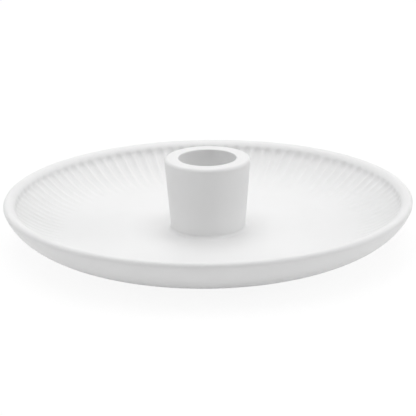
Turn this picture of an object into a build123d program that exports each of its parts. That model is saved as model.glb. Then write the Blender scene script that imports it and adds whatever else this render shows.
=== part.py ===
from build123d import *
import math
import os

# A ceramic candle plate in millimetres, +Z up. The origin is on the table, under
# the middle of the dish. The dish and the candle cup are formed apart, joined
# with slip and fired, and small pads keep the foot off the table. Each outline
# is half a section, in the XZ plane, and is turned about the Z axis.

# Outside of the dish, from the foot up to the lip
dish_diameter = 160.0
foot_inset = 27.0
foot_width = 7.0
foot_height = 1.4
foot_shoulder_height = 0.8
foot_edge_round = 0.3
foot_inner_round = 0.8
wall_knee_inset = 17.3
wall_knee_drop = 2.9
wall_knee_slope = 18.9
lip_rise = 12.8
lip_outer_round = 1.5
lip_underside_angle = 21.5

# Inside of the dish: the flat floor, the hollow border, the cove and the lip's inner round
floor_thickness = 4.3
border_width = 30.0
lip_inner_round = 3.6
lip_hang = 2.75
cove_round = 1.6

# Flutes, cut along the border by a round gouge and ended by its own round
flute_count = 100
first_flute_angle = 1.4
gouge_radius = 3.2
flute_depth = 0.8
flute_head_setback = 2.2
flute_run_out = 5.0
flute_lead_in_angle = 3.0
flute_side_gap = 0.06

# Candle cup
cup_foot_radius = 14.5
cup_top_radius = 16.9
cup_length = 28.9
cup_floor_thickness = 12.9
cup_rim_round = 1.3
cup_mouth_round = 0.4
candle_bore_radius = 11.3
bore_bottom_round = 1.5

# Seat for the cup, and the slip that beds it there
seat_depth = 0.8
seat_gap = 0.35
slip_thickness = 0.4
slip_fillet = 1.1
slip_edge_height = 0.15

# Pads under the foot
pad_count = 4
first_pad_angle = 45.0
pad_thickness = 0.8
pad_inset = 0.5
pad_edge_round = 0.25

# Levels above the table, and radii
foot_z = pad_thickness
underside_z = foot_z + foot_height
floor_z = underside_z + floor_thickness
seat_z = floor_z - seat_depth
cup_foot_z = seat_z + slip_thickness
cup_top_z = cup_foot_z + cup_length
lip_top_z = floor_z + lip_rise
dish_radius = dish_diameter / 2
foot_outer_radius = dish_radius - foot_inset
foot_inner_radius = foot_outer_radius - foot_width
floor_radius = dish_radius - border_width
seat_radius = cup_foot_radius + seat_gap


def at(radius, height):
    """A point of an outline."""
    return Vector(radius, 0, height)


def along(angle):
    """The unit direction at an angle above the outward one, in degrees."""
    return at(math.cos(math.radians(angle)), math.sin(math.radians(angle)))


def meeting(start, start_angle, end, end_angle):
    """Where the line that leaves start meets the line that arrives at end."""
    leaving = along(start_angle)
    arriving = along(end_angle)
    across = end - start
    turn = leaving.X * arriving.Z - leaving.Z * arriving.X
    return start + leaving * ((across.X * arriving.Z - across.Z * arriving.X) / turn)


def rounded(outline, corner, radius):
    """The outline with a round of this radius on the corner at a given point."""
    nearest = min(outline.vertices(), key=lambda vertex: (vertex.center() - corner).length)
    return outline.fillet_2d(radius, [nearest])


# The lip's two rounds, which meet at its crest, and the border's arc from the floor to the lip
lip_crest = at(dish_radius - lip_outer_round, lip_top_z)
lip_outer_centre = lip_crest - at(0, lip_outer_round)
lip_inner_centre = lip_crest - at(0, lip_inner_round)
lip_inner_turn = math.degrees(math.acos(1 - lip_hang / lip_inner_round))
lip_inner = lip_inner_centre + along(90 + lip_inner_turn) * lip_inner_round
border_reach = lip_inner.X - floor_radius
border_rise = lip_inner.Z - floor_z
border_round = (border_reach ** 2 + border_rise ** 2) / (2 * border_rise)
border_centre = at(floor_radius, floor_z + border_round)


def wall_outline():
    """The outside of the dish: a curve up to the knee, one up to the lip, and the lip."""
    lip_outer = lip_outer_centre + along(-lip_underside_angle) * lip_outer_round
    shoulder = at(foot_outer_radius, foot_z + foot_shoulder_height)
    knee = at(dish_radius - wall_knee_inset, floor_z - wall_knee_drop)
    half_run = (knee.X - shoulder.X) / 2
    low_bend = knee - at(half_run, half_run * math.tan(math.radians(wall_knee_slope)))
    high_bend = meeting(knee, wall_knee_slope, lip_outer, 90 - lip_underside_angle)
    outer_middle = lip_outer_centre + along((90 - lip_underside_angle) / 2) * lip_outer_round
    inner_middle = lip_inner_centre + along(90 + lip_inner_turn / 2) * lip_inner_round
    return [
        Bezier(shoulder, low_bend, knee),
        Bezier(knee, high_bend, lip_outer),
        ThreePointArc(lip_outer, outer_middle, lip_crest),
        ThreePointArc(lip_crest, inner_middle, lip_inner),
    ]


def plain_dish():
    """The dish as it is before its flutes are cut."""
    recess_edge = at(foot_inner_radius, underside_z)
    foot_inner = at(foot_inner_radius, foot_z)
    foot_outer = at(foot_outer_radius, foot_z)
    wall = wall_outline()
    lip_angle = math.degrees(math.asin(border_reach / border_round))
    border_middle = border_centre + along(lip_angle / 2 - 90) * border_round
    floor_edge = at(floor_radius, floor_z)
    seat_edge = at(seat_radius, floor_z)
    seat_corner = at(seat_radius, seat_z)
    outline = Face(Wire([
        Line(at(0, underside_z), recess_edge),
        Line(recess_edge, foot_inner),
        Line(foot_inner, foot_outer),
        Line(foot_outer, wall[0] @ 0),
        *wall,
        ThreePointArc(lip_inner, border_middle, floor_edge),
        Line(floor_edge, seat_edge),
        Line(seat_edge, seat_corner),
        Line(seat_corner, at(0, seat_z)),
        Line(at(0, seat_z), at(0, underside_z)),
    ]))
    outline = rounded(outline, foot_outer, foot_edge_round)
    outline = rounded(outline, foot_inner, foot_edge_round)
    outline = rounded(outline, recess_edge, min(foot_inner_round, foot_height - 2 * foot_edge_round))
    outline = rounded(outline, lip_inner, cove_round)
    return revolve(outline, Axis.Z)


def gouge_track():
    """What the gouge takes away in one flute, from the run-out to the head.

    Its path is the border's arc, moved outward a little, so that the cut deepens
    from nothing near the floor to the flute's full depth at the head.
    """
    head_share = (border_reach - flute_head_setback) / border_round
    run_out_share = flute_run_out / border_round
    outward = flute_depth / (head_share - run_out_share)
    path_centre = border_centre + at(outward, 0)
    path_round = border_round - outward * run_out_share - gouge_radius
    head_angle = math.degrees(math.asin(head_share))
    start = path_centre + along(-90 - flute_lead_in_angle) * path_round
    head = path_centre + along(-90 + head_angle) * path_round
    section = Plane(start, x_dir=(0, 1, 0), z_dir=along(-flute_lead_in_angle)) * Circle(gouge_radius)
    track = revolve(section, Axis(path_centre, (0, -1, 0)), head_angle + flute_lead_in_angle)
    return track + Pos(head) * Sphere(gouge_radius)


def flute():
    """One flute's cut, kept clear of its neighbours by the sides of its own sector."""
    half_turn = math.radians(180 / flute_count)
    tip = flute_side_gap / math.sin(half_turn)
    half_width = (dish_radius - tip) * math.tan(half_turn)
    sector = Wire.make_polygon([(tip, 0), (dish_radius, half_width), (dish_radius, -half_width)])
    return gouge_track() & extrude(Face(sector), lip_top_z, dir=(0, 0, 1))


def plate():
    """The dish with its ring of flutes under the lip."""
    cut = flute()
    pitch = 360 / flute_count
    cuts = [Rot(0, 0, first_flute_angle + index * pitch) * cut for index in range(flute_count)]
    return plain_dish().cut(*cuts)


def candle_cup():
    """The tapered cup with its blind bore for the candle."""
    bore_z = cup_foot_z + cup_floor_thickness
    foot_edge = at(cup_foot_radius, cup_foot_z)
    rim_edge = at(cup_top_radius, cup_top_z)
    mouth = at(candle_bore_radius, cup_top_z)
    bore_edge = at(candle_bore_radius, bore_z)
    outline = Face(Wire([
        Line(at(0, cup_foot_z), foot_edge),
        Line(foot_edge, rim_edge),
        Line(rim_edge, mouth),
        Line(mouth, bore_edge),
        Line(bore_edge, at(0, bore_z)),
        Line(at(0, bore_z), at(0, cup_foot_z)),
    ]))
    outline = rounded(outline, rim_edge, cup_rim_round)
    outline = rounded(outline, mouth, cup_mouth_round)
    outline = rounded(outline, bore_edge, bore_bottom_round)
    return revolve(outline, Axis.Z)


def slip_joint():
    """The slip under and round the cup's foot, wiped to a soft fillet on the floor."""
    flare = (cup_top_radius - cup_foot_radius) / cup_length
    lean = math.degrees(math.atan(flare))
    round_z = floor_z + slip_edge_height + slip_fillet
    wall_radius = cup_foot_radius + flare * (round_z - cup_foot_z)
    round_centre = at(wall_radius + slip_fillet / math.cos(math.radians(lean)), round_z)
    fillet_foot = round_centre + along(270) * slip_fillet
    fillet_middle = round_centre + along((270 + 180 - lean) / 2) * slip_fillet
    fillet_top = round_centre + along(180 - lean) * slip_fillet
    fillet_edge = at(fillet_foot.X, floor_z)
    seat_edge = at(seat_radius, floor_z)
    seat_corner = at(seat_radius, seat_z)
    cup_edge = at(cup_foot_radius, cup_foot_z)
    outline = Face(Wire([
        Line(at(0, seat_z), seat_corner),
        Line(seat_corner, seat_edge),
        Line(seat_edge, fillet_edge),
        Line(fillet_edge, fillet_foot),
        ThreePointArc(fillet_foot, fillet_middle, fillet_top),
        Line(fillet_top, cup_edge),
        Line(cup_edge, at(0, cup_foot_z)),
        Line(at(0, cup_foot_z), at(0, seat_z)),
    ]))
    return revolve(outline, Axis.Z)


def foot_pad(index):
    """One of the round pads, stuck to the middle of the foot's ring."""
    ring_middle = foot_outer_radius - foot_width / 2
    standing = (Align.CENTER, Align.CENTER, Align.MIN)
    pad = Cylinder(foot_width / 2 - pad_inset, pad_thickness, align=standing)
    pad = fillet(pad.edges().sort_by(Axis.Z)[0], pad_edge_round)
    return Rot(0, 0, first_pad_angle + index * 360 / pad_count) * Pos(ring_middle, 0, 0) * pad


sub_parts = {"plate": plate(), "candle_cup": candle_cup(), "slip_joint": slip_joint()}
for index in range(pad_count):
    sub_parts[f"foot_pad_{index + 1}"] = foot_pad(index)

os.makedirs("parts", exist_ok=True)
for name, solid in sub_parts.items():
    export_step(solid, f"parts/{name}.step")
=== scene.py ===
import math

import bpy
from mathutils import Matrix, Vector, noise


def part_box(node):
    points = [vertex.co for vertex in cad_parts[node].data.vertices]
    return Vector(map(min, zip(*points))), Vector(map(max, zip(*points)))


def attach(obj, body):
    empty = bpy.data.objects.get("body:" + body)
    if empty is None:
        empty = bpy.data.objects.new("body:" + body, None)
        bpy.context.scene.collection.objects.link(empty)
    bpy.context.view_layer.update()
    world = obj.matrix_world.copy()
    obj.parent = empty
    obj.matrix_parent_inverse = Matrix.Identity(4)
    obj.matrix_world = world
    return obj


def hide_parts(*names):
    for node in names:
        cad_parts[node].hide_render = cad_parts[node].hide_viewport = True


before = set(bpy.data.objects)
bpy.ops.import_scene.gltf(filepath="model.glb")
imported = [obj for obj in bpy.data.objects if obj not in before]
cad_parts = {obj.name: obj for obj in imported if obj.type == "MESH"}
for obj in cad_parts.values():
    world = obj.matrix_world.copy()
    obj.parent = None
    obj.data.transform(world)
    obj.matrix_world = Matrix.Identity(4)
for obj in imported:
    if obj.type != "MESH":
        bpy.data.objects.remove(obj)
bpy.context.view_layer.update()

# Camera: it stands in front of the plate, a little above it, and looks down over the near
# side of the lip with a long lens. It leans by less than a degree, as a hand-set tripod does.
mm = 0.001
camera_back = 785.8 * mm
camera_height = 269.9 * mm
camera_tilt = 18.02
camera_lean = 0.74
sensor_width = 36.0
lens_length = 182.1
camera_data = bpy.data.cameras.new("camera")
camera_data.sensor_width = sensor_width
camera_data.lens = lens_length
camera = bpy.data.objects.new("camera", camera_data)
bpy.context.scene.collection.objects.link(camera)
camera.matrix_world = (
    Matrix.Translation((0, -camera_back, camera_height))
    @ Matrix.Rotation(math.radians(90 - camera_tilt), 4, "X")
    @ Matrix.Rotation(math.radians(-camera_lean), 4, "Z")
)
bpy.context.scene.camera = camera

# Dish: white ceramic, turned to a section with a foot, a thin curved wall and a rolled lip.
# A ring of hollow flutes is cut up the border with a round gouge, from nothing near the floor's
# edge to a rounded head under the lip. A satin white glaze covers all but the foot's land.
plate_low, plate_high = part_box("plate")
dish_radius = plate_high.x
lip_top_z = plate_high.z
foot_z = plate_low.z
foot_inset = 27.0 * mm
foot_width = 7.0 * mm
foot_height = 1.4 * mm
foot_shoulder_height = 0.8 * mm
foot_edge_round = 0.3 * mm
foot_inner_round = 0.8 * mm
wall_knee_inset = 17.3 * mm
wall_knee_drop = 2.9 * mm
wall_knee_slope = 18.9
lip_rise = 12.8 * mm
lip_outer_round = 1.5 * mm
lip_inner_round = 3.6 * mm
lip_underside_angle = 21.5
lip_hang = 2.75 * mm
cove_round = 1.6 * mm
border_width = 30.0 * mm
seat_depth = 0.8 * mm
seat_radius = 14.85 * mm
flute_count = 100
first_flute_angle = 1.4
gouge_radius = 3.2 * mm
flute_depth = 0.8 * mm
flute_head_setback = 2.2 * mm
flute_run_out = 5.0 * mm
flute_depth_scatter = 0.04 * mm
flute_wander_share = 0.012
flute_seed = 7
columns_per_flute = 10
narrow_spread_share = 0.34
wide_spread_share = 0.47
close_row = 0.3 * mm
same_point_gap = 0.003 * mm
merge_gap = 0.001 * mm
foot_recess_steps = 4
foot_edge_steps = 3
low_wall_steps = 6
high_wall_steps = 12
lip_steps = 8
cove_steps = 5
head_steps = 6
border_steps = 24
floor_row_shares = (0.03, 0.3, 0.6)

underside_z = foot_z + foot_height
floor_z = lip_top_z - lip_rise
seat_z = floor_z - seat_depth
floor_radius = dish_radius - border_width
foot_outer_radius = dish_radius - foot_inset
foot_inner_radius = foot_outer_radius - foot_width


def at(radius, height):
    """A point of a section."""
    return Vector((radius, height))


def along(angle):
    """The unit direction at an angle above the outward one, in degrees."""
    return at(math.cos(math.radians(angle)), math.sin(math.radians(angle)))


def round_about(centre, start, end, steps):
    """Points of the round stretch about a centre, the short way from start to end."""
    spoke = start - centre
    turn = -spoke.angle_signed(end - centre)
    return [centre + Matrix.Rotation(turn * step / steps, 2) @ spoke for step in range(steps + 1)]


def eased(before, corner, after, radius, steps):
    """Points of the round on a corner between two straight stretches."""
    back = (before - corner).normalized()
    onward = (after - corner).normalized()
    half_angle = back.angle(onward) / 2
    centre = corner + (back + onward).normalized() * (radius / math.sin(half_angle))
    reach = radius / math.tan(half_angle)
    return round_about(centre, corner + back * reach, corner + onward * reach, steps)


def bend(start, corner, end, steps):
    """Points of a smooth bend that leaves start towards the corner and arrives at end."""
    shares = [step / steps for step in range(steps + 1)]
    return [start * (1 - t) ** 2 + corner * 2 * t * (1 - t) + end * t ** 2 for t in shares]


def meeting(start, start_angle, end, end_angle):
    """Where the line that leaves start meets the line that arrives at end."""
    leaving = along(start_angle)
    arriving = along(end_angle)
    return start + leaving * ((end - start).cross(arriving) / leaving.cross(arriving))


def joined(*stretches):
    """One section from its stretches, with each shared point once."""
    section = []
    for point in sum(stretches, []):
        if not section or (point - section[-1]).length > same_point_gap:
            section.append(point)
    return section


def border_points():
    """The centre and radius of the border's arc, and the centre of the cove under the lip."""
    hang_turn = math.degrees(math.acos(1 - lip_hang / lip_inner_round))
    lip_inner = lip_inner_centre + along(90 + hang_turn) * lip_inner_round
    reach = lip_inner.x - floor_radius
    rise = lip_inner.y - floor_z
    radius = (reach ** 2 + rise ** 2) / (2 * rise)
    centre = at(floor_radius, floor_z + radius)
    apart = lip_inner_centre - centre
    from_border = radius - cove_round
    from_lip = lip_inner_round + cove_round
    share = (from_border ** 2 - from_lip ** 2 + apart.length_squared) / (2 * apart.length)
    aside = math.sqrt(from_border ** 2 - share ** 2)
    toward = apart.normalized()
    return centre, radius, centre + toward * share + at(toward.y, -toward.x) * aside, reach


crest = at(dish_radius - lip_outer_round, lip_top_z)
lip_outer_centre = crest - at(0, lip_outer_round)
lip_inner_centre = crest - at(0, lip_inner_round)
border_centre, border_round, cove_centre, border_reach = border_points()
head_share = (border_reach - flute_head_setback) / border_round
run_out_share = flute_run_out / border_round
path_outward = flute_depth / (head_share - run_out_share)
path_centre = border_centre + at(path_outward, 0)
path_round = border_round - path_outward * run_out_share - gouge_radius
head_angle = math.degrees(math.asin(head_share))


def dish_section():
    """Half the dish's section, from the middle of the underside round to the middle of the seat."""
    middle = at(0, underside_z)
    recess_edge = at(foot_inner_radius, underside_z)
    foot_inner = at(foot_inner_radius, foot_z)
    foot_outer = at(foot_outer_radius, foot_z)
    shoulder = at(foot_outer_radius, foot_z + foot_shoulder_height)
    knee = at(dish_radius - wall_knee_inset, floor_z - wall_knee_drop)
    half_run = (knee.x - shoulder.x) / 2
    low_bend = knee - at(half_run, half_run * math.tan(math.radians(wall_knee_slope)))
    lip_outer = lip_outer_centre + along(-lip_underside_angle) * lip_outer_round
    high_bend = meeting(knee, wall_knee_slope, lip_outer, 90 - lip_underside_angle)
    cove_top = lip_inner_centre + (cove_centre - lip_inner_centre).normalized() * lip_inner_round
    cove_foot = border_centre + (cove_centre - border_centre).normalized() * border_round
    head = border_centre + along(head_angle - 90) * border_round
    floor_edge = at(floor_radius, floor_z)
    seat_edge = at(seat_radius, floor_z)
    seat_corner = at(seat_radius, seat_z)
    return joined(
        [middle, recess_edge - at(foot_inner_round + close_row, 0)],
        eased(middle, recess_edge, foot_inner, foot_inner_round, foot_recess_steps),
        eased(recess_edge, foot_inner, foot_outer, foot_edge_round, foot_edge_steps),
        [foot_inner + at(2 * close_row, 0), foot_outer - at(2 * close_row, 0)],
        eased(foot_inner, foot_outer, shoulder, foot_edge_round, foot_edge_steps),
        bend(shoulder, low_bend, knee, low_wall_steps),
        bend(knee, high_bend, lip_outer, high_wall_steps),
        round_about(lip_outer_centre, lip_outer, crest, lip_steps),
        round_about(lip_inner_centre, crest, cove_top, lip_steps),
        round_about(cove_centre, cove_top, cove_foot, cove_steps),
        round_about(border_centre, cove_foot, head, head_steps),
        round_about(border_centre, head, floor_edge, border_steps),
        [floor_edge.lerp(seat_edge, share) for share in floor_row_shares],
        [seat_edge + at(close_row, 0), seat_edge, seat_corner, seat_corner - at(close_row, 0)],
        [at(0, seat_z)],
    )


def section_object(name, section):
    """An object that holds a section as a line of points in the XZ plane."""
    line = bpy.data.meshes.new(name)
    points = [(point.x, 0, point.y) for point in section]
    line.from_pydata(points, [(step, step + 1) for step in range(len(points) - 1)], [])
    piece = bpy.data.objects.new(name, line)
    bpy.context.scene.collection.objects.link(piece)
    return piece


def add_node(tree, kind, inputs, **settings):
    """A node with its settings, and with each input linked to a socket or given a value."""
    node = tree.nodes.new(kind)
    for name, value in settings.items():
        setattr(node, name, value)
    for name, value in inputs.items():
        socket = next(s for i, s in enumerate(node.inputs) if s.enabled and name in (i, s.name))
        if isinstance(value, bpy.types.NodeSocket):
            tree.links.new(value, socket)
        else:
            socket.default_value = value
    return node


def result(tree, kind, inputs, **settings):
    """The first output of a new node."""
    node = add_node(tree, kind, inputs, **settings)
    return next(socket for socket in node.outputs if socket.enabled)


def sum_of(tree, operation, *values):
    """The result of one step of arithmetic."""
    return result(tree, "ShaderNodeMath", dict(enumerate(values)), operation=operation)


def fluted_dish_tree(sizes):
    """The tree that turns the section about the axis and lets the gouge into the border."""
    tree = bpy.data.node_groups.new("fluted_dish", "GeometryNodeTree")
    tree.interface.new_socket("Section", in_out="INPUT", socket_type="NodeSocketGeometry")
    for name, value in sizes.items():
        kind = {int: "NodeSocketInt", float: "NodeSocketFloat"}.get(type(value), "NodeSocketMaterial")
        tree.interface.new_socket(name, in_out="INPUT", socket_type=kind)
    tree.interface.new_socket("Dish", in_out="OUTPUT", socket_type="NodeSocketGeometry")
    given = tree.nodes.new("NodeGroupInput").outputs

    def whole(operation, first, second):
        return result(tree, "FunctionNodeIntegerMath", {0: first, 1: second}, operation=operation)

    def do(operation, *values):
        return sum_of(tree, operation, *values)

    # One column of points for each turn of the section, ten to a flute
    rows = result(tree, "GeometryNodeAttributeDomainSize", {"Geometry": given["Section"]})
    columns = whole("MULTIPLY", given["Flute Count"], given["Columns Per Flute"])
    sheet = result(
        tree, "GeometryNodeMeshGrid", {"Vertices X": whole("ADD", columns, 1), "Vertices Y": rows}
    )
    index = result(tree, "GeometryNodeInputIndex", {})
    column = whole("DIVIDE_FLOOR", index, rows)
    flute = whole("DIVIDE_FLOOR", column, given["Columns Per Flute"])
    place = whole("MODULO", column, given["Columns Per Flute"])
    point = result(
        tree, "GeometryNodeSampleIndex",
        {"Geometry": given["Section"], "Index": whole("MODULO", index, rows)},
        data_type="FLOAT_VECTOR",
    )
    tree.links.new(result(tree, "GeometryNodeInputPosition", {}), point.node.inputs["Value"])
    corner = add_node(tree, "ShaderNodeSeparateXYZ", {0: point}).outputs
    radius = corner["X"]
    height = corner["Z"]

    # Where the point lies round the gouge's path, and how far past the end of its stroke
    across = do("SUBTRACT", radius, given["Path Centre Radius"])
    below = do("SUBTRACT", given["Path Centre Height"], height)
    reach = do("SQRT", do("ADD", do("MULTIPLY", across, across), do("MULTIPLY", below, below)))
    swing = do("ARCTAN2", across, below)
    past_swing = do("MAXIMUM", do("SUBTRACT", swing, given["Head Swing"]), 0)
    past = do("MULTIPLY", past_swing, given["Path Round"])
    bite = do("SUBTRACT", do("POWER", given["Gouge Radius"], 2), do("MULTIPLY", past, past))

    # No two strokes of the gouge are quite alike in depth and place
    scatter = result(
        tree, "FunctionNodeRandomValue", {"Min": -1, "Max": 1, "ID": flute, "Seed": given["Seed"]}
    )
    wander = result(
        tree, "FunctionNodeRandomValue",
        {"Min": -1, "Max": 1, "ID": flute, "Seed": whole("ADD", given["Seed"], 1)},
    )
    deeper = do("MULTIPLY", scatter, given["Depth Scatter"])
    over = do("SUBTRACT", do("SUBTRACT", reach, given["Path Round"]), deeper)

    # The columns crowd between the two edges of the stroke, and one runs along each ridge
    pitch = do("DIVIDE", 2 * math.pi, given["Flute Count"])
    open_over = do("MAXIMUM", over, 0)
    edge = do("SQRT", do("MAXIMUM", do("SUBTRACT", bite, do("MULTIPLY", open_over, open_over)), 0))
    edge_share = do("DIVIDE", edge, do("MAXIMUM", do("MULTIPLY", radius, pitch), close_row))
    spread = do("MINIMUM", do("MAXIMUM", edge_share, given["Narrow Spread"]), given["Wide Spread"])
    half_places = do("DIVIDE", do("SUBTRACT", given["Columns Per Flute"], 2), 2)
    step = do("SUBTRACT", do("DIVIDE", do("SUBTRACT", place, 1), half_places), 1)
    in_flute = do("MINIMUM", place, 1)
    on_ridge = do("SUBTRACT", 1, in_flute)
    flute_share = do("MULTIPLY", do("MULTIPLY", spread, step), in_flute)
    share = do("SUBTRACT", flute_share, do("MULTIPLY", on_ridge, 0.5))
    aside = do("MULTIPLY", do("MULTIPLY", share, pitch), radius)
    bottom = do("SQRT", do("MAXIMUM", do("SUBTRACT", bite, do("MULTIPLY", aside, aside)), 0))
    depth = do("MAXIMUM", do("SUBTRACT", bottom, over), 0)

    # The point moves out by the depth of the cut, and is then turned to its place
    cut_radius = do("ADD", radius, do("MULTIPLY", depth, do("SINE", swing)))
    cut_height = do("SUBTRACT", height, do("MULTIPLY", depth, do("COSINE", swing)))
    stray = do("MULTIPLY", do("MULTIPLY", wander, given["Wander"]), in_flute)
    turn = do("MULTIPLY", do("ADD", flute, do("ADD", share, stray)), pitch)
    angle = do("ADD", given["First Flute Angle"], turn)
    place_of_point = result(
        tree, "ShaderNodeCombineXYZ",
        {
            "X": do("MULTIPLY", cut_radius, do("COSINE", angle)),
            "Y": do("MULTIPLY", cut_radius, do("SINE", angle)),
            "Z": cut_height,
        },
    )
    dish = result(tree, "GeometryNodeSetPosition", {"Geometry": sheet, "Position": place_of_point})
    # Each point keeps how deep its flute is cut, as a share of the full depth; the glaze darkens by it,
    # a painted shade in the hollows
    dish = result(
        tree, "GeometryNodeStoreNamedAttribute",
        {"Geometry": dish, "Name": "flute_cut_share", "Value": do("DIVIDE", depth, given["Flute Depth"])},
    )
    dish = result(tree, "GeometryNodeMergeByDistance", {"Geometry": dish, "Distance": merge_gap})
    dish = result(tree, "GeometryNodeSetShadeSmooth", {"Geometry": dish})
    dish = result(tree, "GeometryNodeRealizeInstances", {"Geometry": dish})
    dish = result(tree, "GeometryNodeSetMaterial", {"Geometry": dish, "Material": given["Material"]})
    add_node(tree, "NodeGroupOutput", {"Dish": dish})
    return tree


def grown(piece, tree, sizes):
    """Runs a tree on a piece with these sizes, and leaves the result as its plain mesh."""
    modifier = piece.modifiers.new(tree.name, "NODES")
    modifier.node_group = tree
    for item in tree.interface.items_tree:
        if item.in_out == "INPUT" and item.name in sizes:
            modifier[item.identifier] = sizes[item.name]
    evaluated = piece.evaluated_get(bpy.context.evaluated_depsgraph_get())
    line = piece.data
    piece.data = bpy.data.meshes.new_from_object(evaluated)
    piece.modifiers.clear()
    bpy.data.meshes.remove(line)


glaze_white = 0.87
glaze_mottle = 0.012
flute_painted_shade = 0.03
glaze_roughness = 0.55
glaze_roughness_mottle = 0.12
glaze_specular = 0.4
clay_colour = (0.80, 0.775, 0.735, 1.0)
clay_roughness = 0.85
glaze_line_z = foot_z + foot_edge_round
glaze_line_wobble = 0.12 * mm
mottle_size = 14 * mm
wave_size = 9 * mm
wave_height = 0.03 * mm
peel_size = 1.1 * mm
peel_height = 0.004 * mm
grain_size = 0.28 * mm
grain_height = 0.0015 * mm


def grain(tree, place, size, detail):
    """A soft random pattern whose features are about as large as this size."""
    return result(
        tree, "ShaderNodeTexNoise",
        {"Vector": place, "Scale": 1 / size, "Detail": detail, "Roughness": 0.5},
    )


def satin_glaze():
    """Satin white glaze, fired on white clay: faint mottling, painted shade in the flutes' hollows, a
    soft peel and a fine grain.
    """
    material = bpy.data.materials.new("satin_glaze")
    material.use_nodes = True
    tree = material.node_tree
    shader = tree.nodes["Principled BSDF"]
    shader.inputs["Specular IOR Level"].default_value = glaze_specular

    def do(operation, *values):
        return sum_of(tree, operation, *values)

    place = add_node(tree, "ShaderNodeTexCoord", {}).outputs["Object"]
    mottle = do("SUBTRACT", grain(tree, place, mottle_size, 2), 0.5)
    cut_share = add_node(tree, "ShaderNodeAttribute", {}, attribute_name="flute_cut_share").outputs["Fac"]
    white = do("MULTIPLY_ADD", mottle, 2 * glaze_mottle, glaze_white)
    # Painted shade: the white darkens where the flutes are cut deeper, most at their heads
    white = do("MULTIPLY", white, do("SUBTRACT", 1, do("MULTIPLY", cut_share, flute_painted_shade)))
    glaze = result(tree, "ShaderNodeCombineColor", {"Red": white, "Green": white, "Blue": white})
    height = add_node(tree, "ShaderNodeSeparateXYZ", {0: place}).outputs["Z"]
    wobble = do("MULTIPLY", do("SUBTRACT", grain(tree, place, wave_size, 1), 0.5), 2 * glaze_line_wobble)
    bare = result(
        tree, "ShaderNodeMapRange",
        {
            "Value": do("ADD", height, wobble),
            "From Min": glaze_line_z + glaze_line_wobble,
            "From Max": glaze_line_z - glaze_line_wobble,
        },
    )
    mix = add_node(tree, "ShaderNodeMix", {"A": glaze, "B": clay_colour}, data_type="RGBA")
    tree.links.new(bare, mix.inputs[0])
    tree.links.new(mix.outputs[2], shader.inputs["Base Color"])
    rough = do("MULTIPLY_ADD", bare, clay_roughness - glaze_roughness, glaze_roughness)
    tree.links.new(do("MULTIPLY_ADD", mottle, glaze_roughness_mottle, rough), shader.inputs["Roughness"])
    bump = None
    for size, rise in ((wave_size, wave_height), (peel_size, peel_height), (grain_size, grain_height)):
        inputs = {"Height": grain(tree, place, size, 2), "Distance": rise, "Strength": 1.0}
        if bump:
            inputs["Normal"] = bump
        bump = result(tree, "ShaderNodeBump", inputs)
    tree.links.new(bump, shader.inputs["Normal"])
    return material


glaze_material = satin_glaze()
flute_sizes = {
    "Flute Count": flute_count,
    "Columns Per Flute": columns_per_flute,
    "First Flute Angle": math.radians(first_flute_angle),
    "Path Centre Radius": path_centre.x,
    "Path Centre Height": path_centre.y,
    "Path Round": path_round,
    "Head Swing": math.radians(head_angle),
    "Gouge Radius": gouge_radius,
    "Flute Depth": flute_depth,
    "Depth Scatter": flute_depth_scatter,
    "Wander": flute_wander_share,
    "Seed": flute_seed,
    "Narrow Spread": narrow_spread_share,
    "Wide Spread": wide_spread_share,
    "Material": glaze_material,
}
dish = section_object("fluted_dish", dish_section())
grown(dish, fluted_dish_tree(flute_sizes), flute_sizes)
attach(dish, "root")
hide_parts("plate")

# Candle cup: the same white ceramic, formed apart. It widens a little to its thick flat rim,
# whose outer edge is wiped soft, and its straight blind bore takes the candle. It stands in a
# shallow seat in the dish's floor, and the same glaze covers it inside and out.
cup_low, cup_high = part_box("candle_cup")
cup_foot_z = cup_low.z
cup_top_z = cup_high.z
cup_foot_radius = 14.5 * mm
cup_top_radius = 16.9 * mm
cup_floor_thickness = 12.9 * mm
cup_rim_round = 1.3 * mm
cup_mouth_round = 0.4 * mm
candle_bore_radius = 11.3 * mm
bore_bottom_round = 1.5 * mm
cup_columns = 240
cup_unevenness = 0.05 * mm
cup_hand_size = 11 * mm
wall_rows = 12
rim_steps = 9
mouth_steps = 5
bore_bottom_steps = 6
bore_row_shares = (0.05, 0.25, 0.5, 0.75)


def cup_section():
    """Half the cup's section, from the middle of its foot round to the middle of the bore."""
    bore_z = cup_foot_z + cup_floor_thickness
    foot_middle = at(0, cup_foot_z)
    foot_edge = at(cup_foot_radius, cup_foot_z)
    rim_edge = at(cup_top_radius, cup_top_z)
    mouth = at(candle_bore_radius, cup_top_z)
    bore_edge = at(candle_bore_radius, bore_z)
    bore_middle = at(0, bore_z)
    straight = at(0, bore_bottom_round + cup_mouth_round - (cup_top_z - bore_z))
    wall = (rim_edge - foot_edge) / wall_rows
    return joined(
        [foot_middle, foot_edge - at(close_row, 0), foot_edge],
        [foot_edge + wall * row for row in range(1, wall_rows)],
        eased(foot_edge, rim_edge, mouth, cup_rim_round, rim_steps),
        [mouth + at(cup_mouth_round + close_row, 0)],
        eased(rim_edge, mouth, bore_edge, cup_mouth_round, mouth_steps),
        [mouth - at(0, cup_mouth_round) + straight * share for share in bore_row_shares],
        eased(mouth, bore_edge, bore_middle, bore_bottom_round, bore_bottom_steps),
        [bore_edge - at(bore_bottom_round + close_row, 0), bore_middle],
    )


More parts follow.
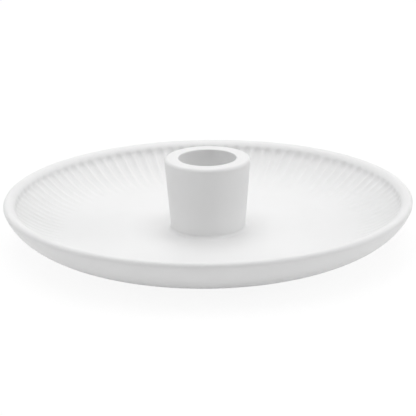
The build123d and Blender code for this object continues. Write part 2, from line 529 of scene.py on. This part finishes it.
def turned(name, section, columns, unevenness):
    """A closed piece turned about the axis, from a section that starts and ends on it.

    Hand work leaves the surface uneven, always inwards, so the piece keeps to its size.
    """
    points = [(0, 0, section[0].y), (0, 0, section[-1].y)]
    rings = section[1:-1]
    for ring in rings:
        for column in range(columns):
            angle = 2 * math.pi * column / columns
            spot = Vector((ring.x * math.cos(angle), ring.x * math.sin(angle), ring.y))
            hollow = (noise.noise(spot / cup_hand_size) + 1) / 2 * unevenness
            points.append((spot.x * (1 - hollow / ring.x), spot.y * (1 - hollow / ring.x), spot.z))
    faces = []
    for column in range(columns):
        beside = (column + 1) % columns
        faces.append((0, 2 + beside, 2 + column))
        for ring in range(len(rings) - 1):
            low = 2 + ring * columns
            high = low + columns
            faces.append((low + column, low + beside, high + beside, high + column))
        faces.append((1, high + column, high + beside))
    mesh = bpy.data.meshes.new(name)
    mesh.from_pydata(points, [], faces)
    mesh.shade_smooth()
    piece = bpy.data.objects.new(name, mesh)
    bpy.context.scene.collection.objects.link(piece)
    return piece


cup = turned("tapered_cup", cup_section(), cup_columns, cup_unevenness)
cup.data.materials.append(glaze_material)
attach(cup, "root")
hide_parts("candle_cup")

# Slip joint: liquid clay under and round the cup's foot, which beds it in its seat. What was
# squeezed out is wiped round with a wet finger to a soft fillet, and glazed with the rest.
slip_fillet = 1.1 * mm
slip_edge_height = 0.03 * mm
slip_fillet_steps = 10


def slip_section():
    """Half the slip's section, from the middle of the seat round to the middle of the cup's foot."""
    flare = (cup_top_radius - cup_foot_radius) / (cup_top_z - cup_foot_z)
    lean = math.degrees(math.atan(flare))
    round_z = floor_z + slip_edge_height + slip_fillet
    wall_radius = cup_foot_radius + flare * (round_z - cup_foot_z)
    centre = at(wall_radius + slip_fillet / math.cos(math.radians(lean)), round_z)
    seat_corner = at(seat_radius, seat_z)
    seat_edge = at(seat_radius, floor_z)
    fillet_foot = centre + along(270) * slip_fillet
    fillet_top = centre + along(180 - lean) * slip_fillet
    return joined(
        [at(0, seat_z), seat_corner - at(close_row, 0), seat_corner, seat_edge],
        [at(fillet_foot.x, floor_z)],
        round_about(centre, fillet_foot, fillet_top, slip_fillet_steps),
        [at(cup_foot_radius, cup_foot_z), at(cup_foot_radius - close_row, cup_foot_z)],
        [at(0, cup_foot_z)],
    )


slip = turned("slip_fillet", slip_section(), cup_columns, 0)
slip.data.materials.append(glaze_material)
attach(slip, "root")
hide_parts("slip_joint")

# Foot pads: four small discs of clear silicone, stuck to the bare clay of the foot's ring. They
# keep the hard foot off the table top, and are only seen from below.
silicone_colour = (0.70, 0.71, 0.71, 1.0)
silicone_roughness = 0.38
silicone_clearness = 0.35
dust_size = 0.9 * mm
dust_roughness = 0.2
dust_height = 0.01 * mm


def pad_silicone():
    """Clear silicone, milky where it is thick, with the faint texture of its mould."""
    material = bpy.data.materials.new("pad_silicone")
    material.use_nodes = True
    tree = material.node_tree
    shader = tree.nodes["Principled BSDF"]
    shader.inputs["Base Color"].default_value = silicone_colour
    shader.inputs["Transmission Weight"].default_value = silicone_clearness
    place = add_node(tree, "ShaderNodeTexCoord", {}).outputs["Object"]
    dust = grain(tree, place, dust_size, 3)
    rough = sum_of(tree, "MULTIPLY_ADD", dust, dust_roughness, silicone_roughness)
    tree.links.new(rough, shader.inputs["Roughness"])
    tree.links.new(
        result(tree, "ShaderNodeBump", {"Height": dust, "Distance": dust_height, "Strength": 1.0}),
        shader.inputs["Normal"],
    )
    return material


silicone_material = pad_silicone()
for name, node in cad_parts.items():
    if name.startswith("foot_pad"):
        node.data.materials.clear()
        node.data.materials.append(silicone_material)

# Table: a plain pale top, which goes on past the picture's edges. To the camera it is white,
# with only a breath of the plate's shadow left on it.
table_size = 6.0
table_white = 0.92
table_glow = 0.045
seen_glow = 0.90
seen_shade = 0.12
table_mesh = bpy.data.meshes.new("table_top")
half = table_size / 2
table_corners = [(-half, -half, 0), (half, -half, 0), (half, half, 0), (-half, half, 0)]
table_mesh.from_pydata(table_corners, [], [(0, 1, 2, 3)])
table = bpy.data.objects.new("table_top", table_mesh)
bpy.context.scene.collection.objects.link(table)


def seen_ray(tree):
    """1 for a ray that shows the background: from the camera, in a gloss or through glass."""
    rays = add_node(tree, "ShaderNodeLightPath", {}).outputs
    seen = sum_of(tree, "MAXIMUM", rays["Is Camera Ray"], rays["Is Glossy Ray"])
    return sum_of(tree, "MAXIMUM", seen, rays["Is Transmission Ray"])


def table_top():
    """Matt white with a faint painted glow that lights the plate from below, lifted to a clear white
    where the camera or a gloss sees it.
    """
    material = bpy.data.materials.new("table_top")
    material.use_nodes = True
    tree = material.node_tree
    tree.nodes.clear()
    plain = result(tree, "ShaderNodeBsdfDiffuse", {"Color": (table_white,) * 3 + (1,)})
    faint = result(tree, "ShaderNodeBsdfDiffuse", {"Color": (seen_shade,) * 3 + (1,)})
    glow = result(tree, "ShaderNodeEmission", {"Strength": seen_glow})
    lifted = result(tree, "ShaderNodeAddShader", {0: faint, 1: glow})
    # Painted glow: the top gives off a faint light of its own to all but the camera and glosses, which
    # lights the plate from below
    painted_glow = result(tree, "ShaderNodeEmission", {"Strength": table_glow})
    plain = result(tree, "ShaderNodeAddShader", {0: plain, 1: painted_glow})
    surface = result(tree, "ShaderNodeMixShader", {0: seen_ray(tree), 1: plain, 2: lifted})
    add_node(tree, "ShaderNodeOutputMaterial", {"Surface": surface})
    return material


table_mesh.materials.append(table_top())

# Studio: a large soft box hangs over the plate, one leans in from high behind it, and a small
# one stands low on each side, the right one the stronger. The pale room fills the rest.
room_level = 0.30
overhead_box_place = Vector((0, 0, 1.1))
overhead_box_size = 1.2
overhead_box_power = 7.5
back_box_place = Vector((0, 0.7, 0.95))
back_box_size = 0.9
back_box_power = 1.85
left_box_place = Vector((-1.0, 0, 0.4))
left_box_power = 1.03
right_box_place = Vector((1.0, 0, 0.4))
right_box_power = 1.72
side_box_size = 0.6


def soft_box(name, place, size, power):
    """A round soft box that faces the plate."""
    light = bpy.data.lights.new(name, "AREA")
    light.shape = "DISK"
    light.size = size
    light.energy = power
    lamp = bpy.data.objects.new(name, light)
    bpy.context.scene.collection.objects.link(lamp)
    lamp.matrix_world = Matrix.Translation(place) @ place.to_track_quat("Z", "Y").to_matrix().to_4x4()


soft_box("overhead_soft_box", overhead_box_place, overhead_box_size, overhead_box_power)
soft_box("back_soft_box", back_box_place, back_box_size, back_box_power)
soft_box("left_soft_box", left_box_place, side_box_size, left_box_power)
soft_box("right_soft_box", right_box_place, side_box_size, right_box_power)
world = bpy.data.worlds.new("studio")
world.use_nodes = True
sky = world.node_tree
sky.nodes.clear()
level = sum_of(sky, "MULTIPLY_ADD", seen_ray(sky), 1 - room_level, room_level)
background = result(sky, "ShaderNodeBackground", {"Color": (1, 1, 1, 1), "Strength": level})
add_node(sky, "ShaderNodeOutputWorld", {"Surface": background})
bpy.context.scene.world = world
bpy.context.scene.view_settings.view_transform = "Standard"
